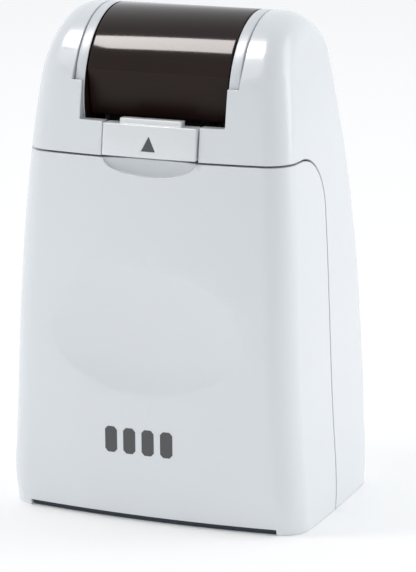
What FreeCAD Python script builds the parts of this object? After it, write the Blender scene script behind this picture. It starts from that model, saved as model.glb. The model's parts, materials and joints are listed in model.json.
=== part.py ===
"""Identity-protection roller stamp: a hand-held case with a rotary head that turns an ink roller in and out.

Frame: millimetres, +Z up, origin at the bottom centre of the case, front face towards -Y, width along X.
"""
import FreeCAD
import Part
import Sketcher
import math
import os
import re

os.makedirs("parts", exist_ok=True)
doc = FreeCAD.newDocument("RollerStamp")
Vector = FreeCAD.Vector

# ---------------------------------------------------------------- driving dimensions
SIZES = {
    # overall case
    "width": 47.0, "depth": 38.1, "height": 74.0, "wall": 1.6,
    "front_corner": 4.5, "back_corner": 5.5, "face_crown": 1.7, "side_crown": 0.5, "roof_reach": 8.05,
    # rotary head
    "head_radius": 12.3, "pivot_y": -2.0, "head_clearance": 0.3, "rear_bulge": 2.3,
    "disc_inner": 11.1, "disc_thick": 1.5, "window_side_gap": 0.25, "sill_drop": 2.9, "ledge_rise": 2.6,
    "jamb_gap": 0.1, "window_rear_angle": 72.0, "case_front_angle": 58.0, "case_rear_angle": 25.0,
    # dark cover of the head
    "cover_thick": 1.2, "cover_back_angle": 58.0, "cover_crease_angle": 70.0, "facet_lean": 10.0,
    "facet_length": 7.0, "cover_end_gap": 0.15, "cover_edge": 0.5,
    "tie_radius": 1.1, "tie_gap": 0.1, "tie_angle": 45.0,
    # pivots
    "pin_radius": 2.0, "bush_radius": 3.1, "bush_flange_radius": 4.2, "bush_flange": 0.35, "run_fit": 0.05,
    "press_fit": 0.02,
    # parting line and base
    "parting_y": -1.2, "seam_drop": 20.2, "seam_gap": 0.3, "seam_corner": 8.0,
    "base_thick": 2.2, "base_gap": 0.2, "toe_height": 0.75, "toe_gap": 0.15, "toe_half": 19.3,
    "toe_depth": 10.0,
    "tongue_width": 6.0, "tongue_low": 12.0, "tongue_high": 36.0, "tongue_reach": 3.6, "tongue_thick": 1.3,
    "tongue_root": 4.0, "tongue_taper_low": 0.0171, "tongue_taper_high": 0.0468, "tongue_gap": 0.3,
    # grip dimple and scoop in the front cover
    "dimple_height": 29.8, "dimple_deep": 1.2, "dimple_ball_x": 29.7, "dimple_ball_y": 3.3,
    "dimple_ball_z": 13.1, "dimple_place": 0.985,
    "scoop_half": 7.2, "scoop_tall": 2.9, "scoop_deep": 1.0, "scoop_place": 0.87,
    # lock slider
    "tab_half": 7.2, "tab_sill_gap": 0.1, "tab_proud": 0.4, "tab_inner": 14.4, "tab_gap": 0.3,
    "neck_half": 4.75, "neck_rise": 0.8, "neck_inner": 14.75, "plate_front": 14.2, "plate_thick": 1.3,
    "plate_drop": 5.0, "plate_rise": 0.9, "plate_step": 0.15,
    "arrow_half": 1.05, "arrow_tall": 2.1, "arrow_rise": 0.95, "arrow_deep": 0.25, "lock_travel": 2.0,
    "yoke_front": 14.2, "yoke_thick": 1.5, "yoke_tall": 1.8, "yoke_drop": 0.5, "arm_wide": 1.0,
    "arm_gap": 0.25,
    "finger_front": 7.8, "finger_wide": 2.0, "finger_clear": 0.3, "notch_margin": 0.3,
    # chassis
    "cheek_inner": 13.3, "cheek_thick": 2.2, "cheek_half": 7.0, "web_thick": 2.0, "web_clear": 3.0,
    "cartridge_travel": 22.0,
    "foot_thick": 2.2, "screw_radius": 1.25, "screw_head": 2.4, "screw_spread_x": 9.5, "screw_spread_y": 4.0,
    "screw_countersink": 1.2, "screw_sink": 0.3,
    # drag springs
    "spring_wide": 0.9, "spring_thick": 0.4, "spring_seat": 6.0, "spring_knee": 4.0, "spring_clear": 0.15,
    "spring_angle": 125.0, "spring_tip_y": 1.92, "spring_tip_z": 1.68,
    # ink cartridge
    "roller_offset": 5.7, "roller_radius": 6.9, "core_radius": 5.2, "roller_half": 9.5, "sleeve_inset": 0.3,
    "axle_radius": 1.5, "washer_radius": 2.8, "washer_thick": 0.25, "frame_half": 10.85, "frame_cheek": 0.8,
    "frame_reach": 5.5, "frame_drop": 3.0, "felt_gap": 0.25, "felt_thick": 2.1, "felt_reach": 4.6,
    "bridge_thick": 1.4,
}

sheet = doc.addObject("Spreadsheet::Sheet", "Sizes")
for row, (alias, value) in enumerate(SIZES.items(), start=1):
    sheet.set("A%d" % row, alias)
    sheet.set("B%d" % row, str(value))
    sheet.setAlias("B%d" % row, alias)
doc.recompute()


def bound(formula):
    """Turn a formula written with the words of the sheet into a document expression."""
    words = r"\b(" + "|".join(sorted(SIZES, key=len, reverse=True)) + r")\b"
    return re.sub(words, r"Sizes.\1", formula)


reader = doc.addObject("App::FeaturePython", "Reader")


def size(formula):
    """The present value of a formula, for shapes that are worked out here."""
    value = reader.evalExpression(bound(formula))
    return float(getattr(value, "Value", value))


# places that several pieces share, as formulas on the sheet
PIVOT_Z = "(height - head_radius)"
DISC_OUTER = "(disc_inner + disc_thick)"
HEAD_EDGE = "(head_radius - roof_reach)"
ROOM = "(head_radius + head_clearance)"
SILL = "(height - head_radius - sill_drop)"
LEDGE = "(height - head_radius + ledge_rise)"
WINDOW_HALF = "(disc_inner + disc_thick + window_side_gap)"
ROLLER_Z = "(height - head_radius - roller_offset)"
SEAM = "(height - seam_drop)"
TAB_BOTTOM = "(height - seam_drop + tab_gap)"
TAB_TOP = "(height - head_radius - sill_drop - tab_sill_gap)"
PLATE_LOW = "(height - seam_drop - plate_drop)"
ARROW_LOW = "(height - seam_drop + tab_gap + arrow_rise)"
WEB_TOP = "(height - head_radius - roller_offset - roller_radius - cartridge_travel - web_clear)"
CHEEK_OUTER = "(cheek_inner + cheek_thick)"
FOOT_TOP = "(base_thick + foot_thick)"


# ---------------------------------------------------------------- small makers
def place(thing, x, y, z):
    for key, formula in zip("xyz", (x, y, z)):
        thing.setExpression("Placement.Base." + key, bound(formula))
    return thing


def block(name, xs, ys, zs):
    """A box between two x, two y and two z formulas."""
    thing = doc.addObject("Part::Box", name)
    for key, (low, high) in zip(("Length", "Width", "Height"), (xs, ys, zs)):
        thing.setExpression(key, bound("(%s) - (%s)" % (high, low)))
    return place(thing, xs[0], ys[0], zs[0])


def rod(name, radius, xs, y, z):
    """A cylinder along X."""
    thing = doc.addObject("Part::Cylinder", name)
    thing.setExpression("Radius", bound(radius))
    thing.setExpression("Height", bound("(%s) - (%s)" % (xs[1], xs[0])))
    thing.Placement = FreeCAD.Placement(Vector(), FreeCAD.Rotation(Vector(0, 1, 0), 90))
    return place(thing, xs[0], y, z)


def post(name, radius, x, y, zs):
    """A cylinder along Z."""
    thing = doc.addObject("Part::Cylinder", name)
    thing.setExpression("Radius", bound(radius))
    thing.setExpression("Height", bound("(%s) - (%s)" % (zs[1], zs[0])))
    return place(thing, x, y, zs[0])


def fuse(name, things):
    joined = doc.addObject("Part::MultiFuse", name)
    joined.Shapes = things
    return joined


def cut(name, base, tools):
    """The base with every tool taken out of it."""
    result = doc.addObject("Part::Cut", name)
    result.Base = base
    result.Tool = tools[0] if len(tools) == 1 else fuse(name + "Tools", tools)
    return result


def common(name, base, tool):
    result = doc.addObject("Part::Common", name)
    result.Base = base
    result.Tool = tool
    return result


def group(name, things):
    """Identical loose pieces that share one node."""
    result = doc.addObject("Part::Compound", name)
    result.Links = things
    return result


def fixed_shape(name, shape):
    thing = doc.addObject("Part::Feature", name)
    thing.Shape = shape
    return thing


def sketch_outline(body, name, plane, corners):
    """A closed outline of straight lines whose corners are tied to the sheet."""
    sketch = body.newObject("Sketcher::SketchObject", name)
    origin_plane = next(f for f in body.Origin.OriginFeatures if f.Role == plane)
    sketch.AttachmentSupport = [(origin_plane, "")]
    sketch.MapMode = "FlatFace"
    points = [Vector(size(u), size(v), 0) for u, v in corners]
    count = len(points)
    for i in range(count):
        sketch.addGeometry(Part.LineSegment(points[i], points[(i + 1) % count]), False)
    for i in range(count):
        sketch.addConstraint(Sketcher.Constraint("Coincident", i, 2, (i + 1) % count, 1))
    for i, corner in enumerate(corners):
        for kind, axis, formula in (("DistanceX", -2, corner[0]), ("DistanceY", -1, corner[1])):
            if formula == "0":
                sketch.addConstraint(Sketcher.Constraint("PointOnObject", i, 1, axis))
                continue
            number = sketch.addConstraint(Sketcher.Constraint(kind, -1, 1, i, 1, size(formula)))
            sketch.setExpression("Constraints[%d]" % number, bound(formula))
    return sketch


def turned(name, corners, y, z):
    """A round piece about an axis along X: corners are (station along X, radius)."""
    body = doc.addObject("PartDesign::Body", name)
    sketch = sketch_outline(body, name + "Outline", "XY_Plane", corners)
    lathe = body.newObject("PartDesign::Revolution", name + "Lathe")
    lathe.Profile = sketch
    lathe.ReferenceAxis = (sketch, ["H_Axis"])
    lathe.Angle = 360.0
    return place(body, "0", y, z)


def ring(name, stations, inner, outer, y, z):
    """A plain ring or, with an inner radius of 0, a solid rod, made on the lathe."""
    low, high = stations
    return turned(name, [(low, inner), (high, inner), (high, outer), (low, outer)], y, z)


def padded(name, plane, corners, length, y="0", z="0", x="0"):
    """A plate: an outline pushed out to both sides of its plane."""
    body = doc.addObject("PartDesign::Body", name)
    sketch = sketch_outline(body, name + "Outline", plane, corners)
    pad = body.newObject("PartDesign::Pad", name + "Pad")
    pad.Profile = sketch
    pad.setExpression("Length", bound(length))
    pad.Midplane = True
    return place(body, x, y, z)


NODES = []


def node(label, thing):
    thing.Label = label
    NODES.append(thing)
    return thing


# ---------------------------------------------------------------- moulded skin of the case
INNER_CORNER_SHARE = 0.7  # how much of the inset an inner corner gives up, so that it stays round
WIDE_SHARE = 1.9  # an edge this many head radii long runs right across the head
TOUCHING = 0.01

# How the half width, front and back of the case run with the height, as shares of the overall size.
# Rows: share of the height, share of the half width, share of the half depth in front and behind.
STATIONS = [
    (0.000, 0.990, 0.900, 0.955),
    (0.160, 0.974, 0.978, 0.990),
    (0.340, 0.944, 0.990, 0.986),
    (0.525, 0.918, 0.960, 0.905),
    (0.695, 0.885, 0.900, 0.772),
    (0.840, 0.842, 0.826, 0.634),
    (0.945, 0.792, 0.740, 0.556),
    (1.060, 0.722, 0.650, 0.480),
]


def inner_circle_centre(big, big_radius, other, other_radius, radius, side):
    """Centre of a corner circle that touches two large circles from inside."""
    apart = math.dist(big, other)
    first = big_radius - radius
    second = other_radius - radius
    along = (first ** 2 - second ** 2 + apart ** 2) / (2 * apart)
    across = math.sqrt(first ** 2 - along ** 2)
    unit = ((other[0] - big[0]) / apart, (other[1] - big[1]) / apart)
    middle = (big[0] + unit[0] * along, big[1] + unit[1] * along)
    found = [(middle[0] - unit[1] * across * s, middle[1] + unit[0] * across * s) for s in (1, -1)]
    return next(c for c in found if c[0] > 0 and c[1] * side > 0)


def pushed(centre, through, radius):
    reach = math.dist(centre, through)
    return tuple(c + (t - c) * radius / reach for c, t in zip(centre, through))


def skin_section(level, half, front, back, inset):
    """One level of the skin: two crowned faces, two slightly crowned sides and four round corners."""
    crown = size("face_crown")
    bow = size("side_crown")
    half_length = (front + back) / 2
    middle = (back - front) / 2
    face_radius = (half ** 2 + crown ** 2) / (2 * crown)
    side_radius = (half_length ** 2 + bow ** 2) / (2 * bow)
    side_centre = (half - side_radius, middle)
    arcs = []
    for end, side, corner in ((front, -1, "front_corner"), (back, 1, "back_corner")):
        centre = (0.0, side * (end - face_radius))
        radius = size(corner) - INNER_CORNER_SHARE * inset
        corner_centre = inner_circle_centre(centre, face_radius, side_centre, side_radius, radius, side)
        face_end = pushed(centre, corner_centre, face_radius)
        side_end = pushed(side_centre, corner_centre, side_radius)
        halfway = tuple((p + q) / 2 for p, q in zip(face_end, side_end))
        arcs.append((face_end, pushed(corner_centre, halfway, radius), side_end, (0.0, side * end)))
    (f1, fm, f2, face), (b1, bm, b2, rear) = arcs

    def at(point, side=1):
        return Vector(side * point[0], point[1], level)

    waist = (half, middle)
    runs = [
        (at(f1, -1), at(face), at(f1)), (at(f1), at(fm), at(f2)), (at(f2), at(waist), at(b2)),
        (at(b2), at(bm), at(b1)), (at(b1), at(rear), at(b1, -1)), (at(b1, -1), at(bm, -1), at(b2, -1)),
        (at(b2, -1), at(waist, -1), at(f2, -1)), (at(f2, -1), at(fm, -1), at(f1, -1)),
    ]
    return Part.Wire([Part.Arc(*run).toShape() for run in runs])


def on_head(angle, radius):
    """A point round the pivot: 0 is up, positive towards the front."""
    turn = math.radians(angle)
    return Vector(-size("width"), size("pivot_y") - radius * math.sin(turn),
                  size(PIVOT_Z) + radius * math.cos(turn))


def skin(inset):
    """The solid inside the moulded skin, drawn in by inset all round and rounded over the head."""
    sections = []
    for level, half, front, back in STATIONS:
        half, front, back = half * size("width") / 2, front * size("depth") / 2, back * size("depth") / 2
        sections.append(skin_section(level * size("height"), half - inset, front - inset, back - inset,
                                     inset))
    loft = Part.makeLoft(sections, True, False)
    radius = size("head_radius") - inset
    front_angle = size("case_front_angle")
    rear_angle = size("case_rear_angle")
    front_end = on_head(front_angle, radius)
    rear_start = on_head(-rear_angle, radius)
    down = Vector(0, -math.cos(math.radians(front_angle)), -math.sin(math.radians(front_angle)))
    front_foot = front_end + down * size("head_radius") * 2
    # the rear arc leaves the head arc smoothly and ends level with the pivot
    rear_end = Vector(rear_start.x, size("pivot_y + head_radius + rear_bulge") - inset, size(PIVOT_Z))
    inward = (on_head(0, 0) - rear_start).normalize()
    chord = rear_end - rear_start
    rear_radius = chord.Length ** 2 / (2 * chord.dot(inward))
    rear_centre = rear_start + inward * rear_radius
    rear_middle = rear_centre + ((rear_start + rear_end) / 2 - rear_centre).normalize() * rear_radius
    beyond = size("depth")
    corners = [rear_end, Vector(rear_end.x, beyond, size("height") / 2), Vector(rear_end.x, beyond, -beyond),
               Vector(rear_end.x, -beyond, -beyond), Vector(rear_end.x, -beyond, front_foot.z), front_foot,
               front_end]
    edges = [Part.Arc(front_end, on_head(0, radius), rear_start).toShape(),
             Part.Arc(rear_start, rear_middle, rear_end).toShape()]
    edges += [Part.makeLine(a, b) for a, b in zip(corners[:-1], corners[1:])]
    side_view = Part.Face(Part.Wire(edges)).extrude(Vector(2 * size("width"), 0, 0))
    solid = loft.common(side_view).Solids[0]
    return solid


def rounded_head(solid, radius):
    """Round the edge where the faces of the case meet the top of the head."""
    lowest = size(LEDGE)
    rim = []
    for edge in solid.Edges:
        box = edge.BoundBox
        across_top = box.XLength > WIDE_SHARE * size("head_radius") and box.YLength < TOUCHING
        if box.ZMin > lowest and not across_top:
            rim.append(edge)
    return solid.makeFillet(radius, rim)


outer_skin = fixed_shape("OuterSkin", rounded_head(skin(0.0), size(HEAD_EDGE)))
inner_skin = fixed_shape("InnerSkin", rounded_head(skin(size("wall")), size(HEAD_EDGE + " - wall")))
proud_skin = fixed_shape("ProudSkin", skin(-size("tab_proud")))
arrow_skin = fixed_shape("ArrowSkin", skin(size("arrow_deep - tab_proud")))
toe_skin = fixed_shape("ToeSkin", skin(size("toe_gap + base_gap")))
plate_skin = fixed_shape("PlateSkin", skin(size("wall + base_gap")))


# ---------------------------------------------------------------- case: rear case and front cover
def parting_zone(name, margin):
    """Everything in front of the parting line, grown or shrunk by the margin, its upper corner rounded."""
    turn_y = "parting_y - seam_corner"
    turn_z = SEAM + " - seam_corner"
    xs = ("-width", "width")
    return fuse(name, [
        block(name + "Low", xs, ("-depth", "parting_y + (%s)" % margin), ("-depth", turn_z)),
        block(name + "High", xs, ("-depth", turn_y), ("-depth", "%s + (%s)" % (SEAM, margin))),
        rod(name + "Corner", "seam_corner + (%s)" % margin, xs, turn_y, turn_z),
    ])


def sided(side, low, high):
    """An x range on the right, or its mirror image on the left."""
    return (low, high) if side > 0 else ("-(%s)" % high, "-(%s)" % low)


def both_ways(formula):
    return ("-(%s)" % formula, formula)


TONGUES = (("Low", "tongue_low", "width * tongue_taper_low"),
           ("High", "tongue_high", "width * tongue_taper_high"))


def cover_tongues():
    """Four tongues on the front cover that slip behind the side walls of the rear case."""
    made = []
    for side in (-1, 1):
        for tag, low, taper in TONGUES:
            name = "Tongue%s%s" % ("Left" if side < 0 else "Right", tag)
            face = "width / 2 - wall - tongue_gap - %s" % taper
            zs = (low, low + " + tongue_width")
            blade = sided(side, face + " - tongue_thick", face)
            root = sided(side, face + " - tongue_thick", "width / 2 - wall / 2 - %s" % taper)
            made.append(block(name, blade, ("parting_y - tongue_root", "parting_y + tongue_reach"), zs))
            made.append(block(name + "Root", root, ("parting_y - tongue_root", "parting_y - seam_gap"), zs))
    return made


def egg(name, radius_x, radius_y, radius_z, y, z):
    """An ellipsoid for shallow thumb hollows."""
    thing = doc.addObject("Part::Ellipsoid", name)
    thing.setExpression("Radius1", bound(radius_z))
    thing.setExpression("Radius2", bound(radius_x))
    thing.setExpression("Radius3", bound(radius_y))
    return place(thing, "0", y, z)


shell = cut("Shell", outer_skin, [inner_skin])
cover_zone = parting_zone("CoverZone", "-seam_gap / 2")
case_zone = parting_zone("CaseZone", "seam_gap / 2")
toe_slot = block("ToeSlot", both_ways("toe_half + toe_gap"), ("-depth", "-toe_depth"),
                 ("-depth", "toe_height + toe_gap"))
dimple = egg("Dimple", "dimple_ball_x", "dimple_ball_y", "dimple_ball_z",
             "-depth / 2 * dimple_place + dimple_deep - dimple_ball_y", "dimple_height")
scoop = egg("Scoop", "scoop_half", "scoop_deep", "scoop_tall", "-depth / 2 * scoop_place", SEAM)
cover_body = cut("CoverBody", common("CoverShell", shell, cover_zone), [toe_slot, dimple, scoop])
node("front_cover", fuse("FrontCover", [cover_body] + cover_tongues()))

room = rod("HeadRoom", ROOM, both_ways(WINDOW_HALF), "pivot_y", PIVOT_Z)
rear_turn = "tan(window_rear_angle * 1 deg)"
window = padded("Window", "YZ_Plane", [
    ("-depth", LEDGE), ("pivot_y + ledge_rise * " + rear_turn, LEDGE),
    ("pivot_y + depth * " + rear_turn, PIVOT_Z + " + depth"), ("-depth", PIVOT_Z + " + depth")],
    "2 * " + WINDOW_HALF)
lower_window = block("LowerWindow", both_ways("disc_inner + jamb_gap"), ("-depth", "pivot_y"),
                     (SILL, LEDGE + " + wall"))
tab_notch = block("TabNotch", both_ways("tab_half + tab_gap"), ("-depth", "pivot_y - cheek_half"),
                  (SEAM + " - wall", SILL + " + wall"))
node("rear_case", cut("RearCase", shell, [case_zone, room, window, lower_window, tab_notch]))

# ---------------------------------------------------------------- base plate and its screws
SCREW_PLACES = [("%s * screw_spread_x" % side, "pivot_y + %s * screw_spread_y" % end)
                for side in ("-1", "1") for end in ("-1", "1")]


def screw_holes(name, radius, zs):
    return [post("%s%d" % (name, i), radius, x, y, zs) for i, (x, y) in enumerate(SCREW_PLACES)]


slab = block("BaseSlab", ("-width", "width"), ("-depth", "depth"), ("0", "base_thick"))
toe_bar = block("ToeBar", both_ways("toe_half"), ("-depth", "-toe_depth"), ("0", "toe_height"))
base_blank = fuse("BaseBlank", [common("BaseInner", plate_skin, slab), common("BaseToe", toe_skin, toe_bar)])
head_seat = "screw_sink + screw_countersink"
node("base_plate", cut("BasePlate", base_blank,
                       screw_holes("BaseHole", "screw_radius + run_fit", ("-base_thick", "base_thick * 2"))
                       + screw_holes("BaseSink", "screw_head + run_fit", ("-base_thick", head_seat))))


def screw(name, x, y):
    """A flat-headed screw that stands on its head."""
    body = turned(name, [("screw_sink", "0"), ("screw_sink", "screw_head"), (head_seat, "screw_head"),
                         (head_seat, "screw_radius"), (FOOT_TOP, "screw_radius"), (FOOT_TOP, "0")], "0", "0")
    body.Placement = FreeCAD.Placement(Vector(), FreeCAD.Rotation(Vector(0, 1, 0), -90))
    return place(body, x, y, "0")


node("base_screws", group("BaseScrews", [screw("Screw%d" % i, *spot) for i, spot in enumerate(SCREW_PLACES)]))

# ---------------------------------------------------------------- chassis, bushes and drag springs
CHEEK_YS = ("pivot_y - cheek_half", "pivot_y + cheek_half")
chassis_parts = [
    block("ChassisFoot", both_ways(CHEEK_OUTER), CHEEK_YS, ("base_thick", FOOT_TOP)),
    block("ChassisWeb", both_ways("cheek_inner"), ("pivot_y + cheek_half - web_thick", CHEEK_YS[1]),
          ("base_thick", WEB_TOP)),
]
chassis_bores = []
for side, tag in ((-1, "Left"), (1, "Right")):
    cheek_xs = sided(side, "cheek_inner", CHEEK_OUTER)
    chassis_parts.append(block("Cheek" + tag, cheek_xs, CHEEK_YS, ("base_thick", PIVOT_Z)))
    chassis_parts.append(rod("CheekTop" + tag, "cheek_half", cheek_xs, "pivot_y", PIVOT_Z))
    chassis_bores.append(rod("BushSeat" + tag, "bush_radius + press_fit",
                             sided(side, "cheek_inner - wall", CHEEK_OUTER + " + wall"), "pivot_y", PIVOT_Z))
node("chassis", cut("Chassis", fuse("ChassisBlank", chassis_parts),
                    chassis_bores
                    + screw_holes("FootHole", "screw_radius + run_fit", ("0", FOOT_TOP + " * 2"))))


def flipped(side, corners):
    return corners if side > 0 else [("-(%s)" % x, r) for x, r in corners]


BUSH_BORE = "pin_radius + run_fit"
BUSH_FACE = "cheek_inner - bush_flange"
for side, tag in ((-1, "left"), (1, "right")):
    outline = [(BUSH_FACE, BUSH_BORE), (CHEEK_OUTER, BUSH_BORE), (CHEEK_OUTER, "bush_radius"),
               ("cheek_inner", "bush_radius"), ("cheek_inner", "bush_flange_radius"),
               (BUSH_FACE, "bush_flange_radius")]
    node("pivot_bush_" + tag, turned("Bush" + tag.title(), flipped(side, outline), "pivot_y", PIVOT_Z))

SPRING_REACH = "(head_radius + spring_clear)"
contact_y = "pivot_y + %s * sin(spring_angle * 1 deg)" % SPRING_REACH
contact_z = "%s + %s * cos(spring_angle * 1 deg)" % (PIVOT_Z, SPRING_REACH)
tip_y = contact_y + " + spring_tip_y"
tip_z = contact_z + " + spring_tip_z"
root_y = CHEEK_YS[1]
spring_outline = [(root_y, WEB_TOP + " - spring_seat"), (root_y, WEB_TOP + " + spring_knee"),
                  (contact_y, contact_z), (tip_y, tip_z),
                  (tip_y + " + spring_thick", tip_z), (contact_y + " + spring_thick", contact_z),
                  (root_y + " + spring_thick", WEB_TOP + " + spring_knee"),
                  (root_y + " + spring_thick", WEB_TOP + " - spring_seat")]
springs = [padded("Spring" + tag, "YZ_Plane", spring_outline, "spring_wide",
                  x="%s * (disc_inner + disc_thick / 2)" % side)
           for side, tag in (("-1", "Left"), ("1", "Right"))]
node("drag_springs", group("DragSprings", springs))

# ---------------------------------------------------------------- lock slider with its arrow, and the yoke
arrow_outline = [("-arrow_half", ARROW_LOW), ("arrow_half", ARROW_LOW), ("0", ARROW_LOW + " + arrow_tall")]
arrow_prism = padded("ArrowPrism", "XZ_Plane", arrow_outline, "depth", y="-depth / 2 - wall")
arrow_room = cut("ArrowRoom", arrow_prism, [arrow_skin])
tab_blank = block("TabBlank", both_ways("tab_half"), ("-depth", "-tab_inner"), (TAB_BOTTOM, TAB_TOP))
neck_blank = block("NeckBlank", both_ways("neck_half"), ("-depth", "-neck_inner"),
                   (TAB_TOP + " - wall", TAB_TOP + " + neck_rise"))
plate_top = TAB_BOTTOM + " + plate_rise"
plate_back = "plate_thick - plate_front"
plate = block("LockPlate", both_ways("neck_half"), ("-plate_front", plate_back), (PLATE_LOW, plate_top))
step = block("LockStep", both_ways("neck_half"), ("-tab_inner - plate_step * 2", plate_back),
             (TAB_BOTTOM + " + plate_step", plate_top))
slider_blank = fuse("SliderBlank", [common("Tab", proud_skin, tab_blank),
                                    common("Neck", outer_skin, neck_blank),
                                    plate, step])
node("lock_slider", cut("LockSlider", slider_blank, [arrow_room]))
node("arrow_inlay", common("ArrowInlay", arrow_room, proud_skin))

ARM_XS = ("disc_inner + arm_gap", "disc_inner + arm_gap + arm_wide")
yoke_low = PLATE_LOW + " - yoke_tall"
finger_top = PIVOT_Z + " - sqrt((head_radius + finger_clear)^2 - (pivot_y + finger_front)^2)"
yoke_parts = [block("YokeBar", both_ways(ARM_XS[1]), ("-yoke_front", "yoke_thick - yoke_front"),
                    (yoke_low, PLATE_LOW))]
for side, tag in ((-1, "Left"), (1, "Right")):
    arm_xs = sided(side, *ARM_XS)
    yoke_parts.append(block("YokeArm" + tag, arm_xs, ("-yoke_front", "-finger_front"),
                            (yoke_low, PLATE_LOW + " - yoke_drop")))
    yoke_parts.append(block("Finger" + tag, arm_xs, ("-finger_front - finger_wide", "-finger_front"),
                            (yoke_low, finger_top)))
node("lock_yoke", fuse("LockYoke", yoke_parts))

# ---------------------------------------------------------------- rotary head: discs, pins, tie bars, cover
notch_ys = ("-finger_front - finger_wide - notch_margin", "notch_margin - finger_front")
notch_top = "%s + lock_travel + notch_margin" % finger_top
for side, tag in ((-1, "left"), (1, "right")):
    name = tag.title()
    disc_xs = sided(side, "disc_inner", DISC_OUTER)
    blank = ring("Disc" + name + "Blank", disc_xs, "pin_radius + press_fit", "head_radius",
                 "pivot_y", PIVOT_Z)
    notch_xs = sided(side, "disc_inner - wall", DISC_OUTER + " + wall")
    locked = block("Notch" + name, notch_xs, notch_ys, (PIVOT_Z + " - 2 * head_radius", notch_top))
    opposite_ys = ("2 * pivot_y - (%s)" % notch_ys[1], "2 * pivot_y - (%s)" % notch_ys[0])
    opened = block("NotchOpen" + name, notch_xs, opposite_ys,
                   ("2 * %s - (%s)" % (PIVOT_Z, notch_top), PIVOT_Z + " + 2 * head_radius"))
    node("head_disc_" + tag, cut("Disc" + name, blank, [locked, opened]))
    node("pivot_pin_" + tag, ring("Pin" + name, sided(side, "disc_inner", CHEEK_OUTER + " + press_fit"), "0",
                                  "pin_radius", "pivot_y", PIVOT_Z))

tie_reach = "(head_radius - cover_thick - tie_radius - tie_gap)"
tie_step = tie_reach + " * sin(tie_angle * 1 deg)"
tie_height = "%s + %s * cos(tie_angle * 1 deg)" % (PIVOT_Z, tie_reach)
tie_bars = [ring("TieBar" + tag, both_ways("disc_inner"), "0", "tie_radius",
                 "pivot_y + %s * %s" % (side, tie_step), tie_height)
            for side, tag in (("-1", "Front"), ("1", "Rear"))]
node("tie_bars", group("TieBars", tie_bars))


def head_cover_shape():
    """The dark cover: a round roof over the head that ends in a flat facet leaning inwards."""
    outer = size("head_radius")
    inner = outer - size("cover_thick")
    lean = math.radians(size("facet_lean"))
    back = -size("cover_back_angle")
    crease = on_head(size("cover_crease_angle"), outer)
    foot = crease + Vector(0, math.sin(lean), -math.cos(lean)) * size("facet_length")
    inward = Vector(0, math.cos(lean), math.sin(lean))
    inner_foot = foot + inward * size("cover_thick")
    facet_distance = (on_head(0, 0) - crease).dot(inward) - size("cover_thick")
    inner_crease_angle = 90 + size("facet_lean") - math.degrees(math.acos(facet_distance / inner))
    inner_crease = on_head(inner_crease_angle, inner)
    edges = [
        Part.Arc(on_head(back, outer), on_head(0, outer), crease).toShape(),
        Part.makeLine(crease, foot),
        Part.makeLine(foot, inner_foot),
        Part.makeLine(inner_foot, inner_crease),
        Part.Arc(inner_crease, on_head(0, inner), on_head(back, inner)).toShape(),
        Part.makeLine(on_head(back, inner), on_head(back, outer)),
    ]
    face = Part.Face(Part.Wire(edges))
    half = size("disc_inner - cover_end_gap")
    face.translate(Vector(size("width") - half, 0, 0))
    solid = face.extrude(Vector(2 * half, 0, 0))
    rims = [e for e in solid.Edges if e.BoundBox.XLength < 0.01 and isinstance(e.Curve, Part.Circle)
            and abs(e.Curve.Radius - outer) < 0.01]
    return solid.makeFillet(size("cover_edge"), rims)


node("head_cover", fixed_shape("HeadCover", head_cover_shape()))

# ---------------------------------------------------------------- ink cartridge and its roller
felt_low = ROLLER_Z + " + roller_radius + felt_gap"
bridge_low = felt_low + " + felt_thick"
bridge_top = bridge_low + " + bridge_thick"
frame_ys = ("pivot_y - frame_reach", "pivot_y + frame_reach")
frame_inner = "frame_half - frame_cheek"
frame_parts = [block("Bridge", both_ways("frame_half"), frame_ys, (bridge_low, bridge_top))]
for side, tag in ((-1, "Left"), (1, "Right")):
    frame_parts.append(block("FrameCheek" + tag, sided(side, frame_inner, "frame_half"), frame_ys,
                             (ROLLER_Z + " - frame_drop", bridge_top)))
axle_hole = rod("AxleHole", "axle_radius + press_fit", both_ways("frame_half + wall"), "pivot_y", ROLLER_Z)
node("cartridge_frame", cut("CartridgeFrame", fuse("FrameBlank", frame_parts), [axle_hole]))
node("ink_felt", block("InkFelt", both_ways(frame_inner + " - felt_gap"),
                       ("pivot_y - felt_reach", "pivot_y + felt_reach"), (felt_low, bridge_low)))
node("roller_axle", ring("RollerAxle", both_ways("frame_half"), "0", "axle_radius", "pivot_y", ROLLER_Z))
washers = [ring("Washer" + tag, sided(side, frame_inner + " - washer_thick", frame_inner),
                "axle_radius + press_fit", "washer_radius", "pivot_y", ROLLER_Z)
           for side, tag in ((-1, "Left"), (1, "Right"))]
node("axle_washers", group("AxleWashers", washers))
node("roller_core", ring("RollerCore", both_ways("roller_half"), "axle_radius + run_fit", "core_radius",
                         "pivot_y", ROLLER_Z))
node("print_sleeve", ring("PrintSleeve", both_ways("roller_half - sleeve_inset"), "core_radius + press_fit",
                          "roller_radius", "pivot_y", ROLLER_Z))

# ---------------------------------------------------------------- checks and export
doc.recompute()
for thing in doc.Objects:
    if "Invalid" in thing.State or "Error" in thing.State:
        raise RuntimeError("%s failed: %s" % (thing.Name, thing.State))
for thing in NODES:
    shape = thing.Shape
    if shape.isNull() or not shape.isValid() or not shape.Solids:
        raise RuntimeError("%s has no valid solid" % thing.Label)
for thing in NODES:
    thing.Shape.exportStep(os.path.join("parts", thing.Label + ".step"))
    box = thing.Shape.optimalBoundingBox(False)
    print("%-18s %d solids %9.1f mm3  x %7.2f %7.2f  y %7.2f %7.2f  z %7.2f %7.2f" % (
        thing.Label, len(thing.Shape.Solids), thing.Shape.Volume, box.XMin, box.XMax, box.YMin, box.YMax,
        box.ZMin, box.ZMax))
print(len(NODES), "nodes")
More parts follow.
